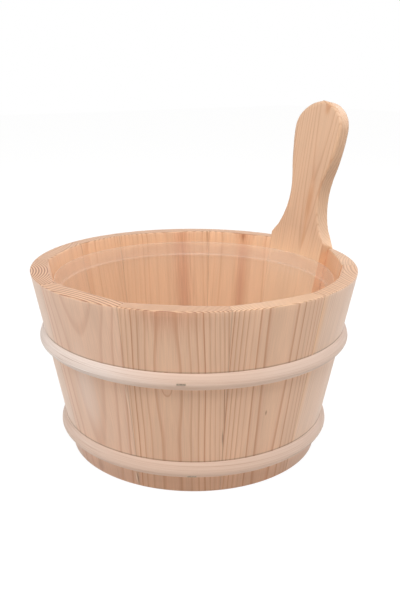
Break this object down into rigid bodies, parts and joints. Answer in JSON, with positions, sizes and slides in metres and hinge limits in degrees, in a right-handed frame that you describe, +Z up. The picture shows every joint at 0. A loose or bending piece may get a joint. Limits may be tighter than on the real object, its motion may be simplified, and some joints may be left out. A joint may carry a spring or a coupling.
{
  "type": "wooden piggin",
  "caption": "Coopered softwood pail with tapered staves, one stave running up as a paddle handle, half-round wooden hoops and a lift-out clear liner.",
  "frame": {"origin": "on the surface that the pail stands on, under the middle of its whole length and width; the upright axis of the round pail is at x = -11 mm, because the handle leans out at +X", "axes": "+Z up, parallel to the axis of the pail, +X out through the middle of the handle stave, +Y to the left of the handle seen from inside the pail"},
  "size_m": [0.2713, 0.2495, 0.2615],
  "materials": {
    "stave_pine": "bare planed pine",
    "handle_pine": "bare sanded pine",
    "bottom_pine": "bare planed pine",
    "hoop_wood": "bare split rod, pale",
    "staple_steel": "dull",
    "liner_plastic": "clear, frosted at the rim band"
  },
  "bodies": {
    "pail": {"stave_01": "stave_pine", "stave_02": "stave_pine", "stave_03": "stave_pine", "stave_04": "stave_pine", "stave_05": "stave_pine", "stave_06": "stave_pine", "stave_07": "stave_pine", "stave_08": "stave_pine", "stave_09": "stave_pine", "stave_10": "stave_pine", "handle_stave": "handle_pine", "bottom_board_left": "bottom_pine", "bottom_board_middle": "bottom_pine", "bottom_board_right": "bottom_pine", "upper_hoop": "hoop_wood", "lower_hoop": "hoop_wood", "upper_hoop_staples": "staple_steel", "lower_hoop_staples": "staple_steel"},
    "liner": {"liner": "liner_plastic"}
  },
  "joints": [
    {"name": "liner_lift", "type": "slide", "parent": "pail", "child": "liner", "axis": [0, 0, 1], "range_m": [0, 0.15]}
  ]
}
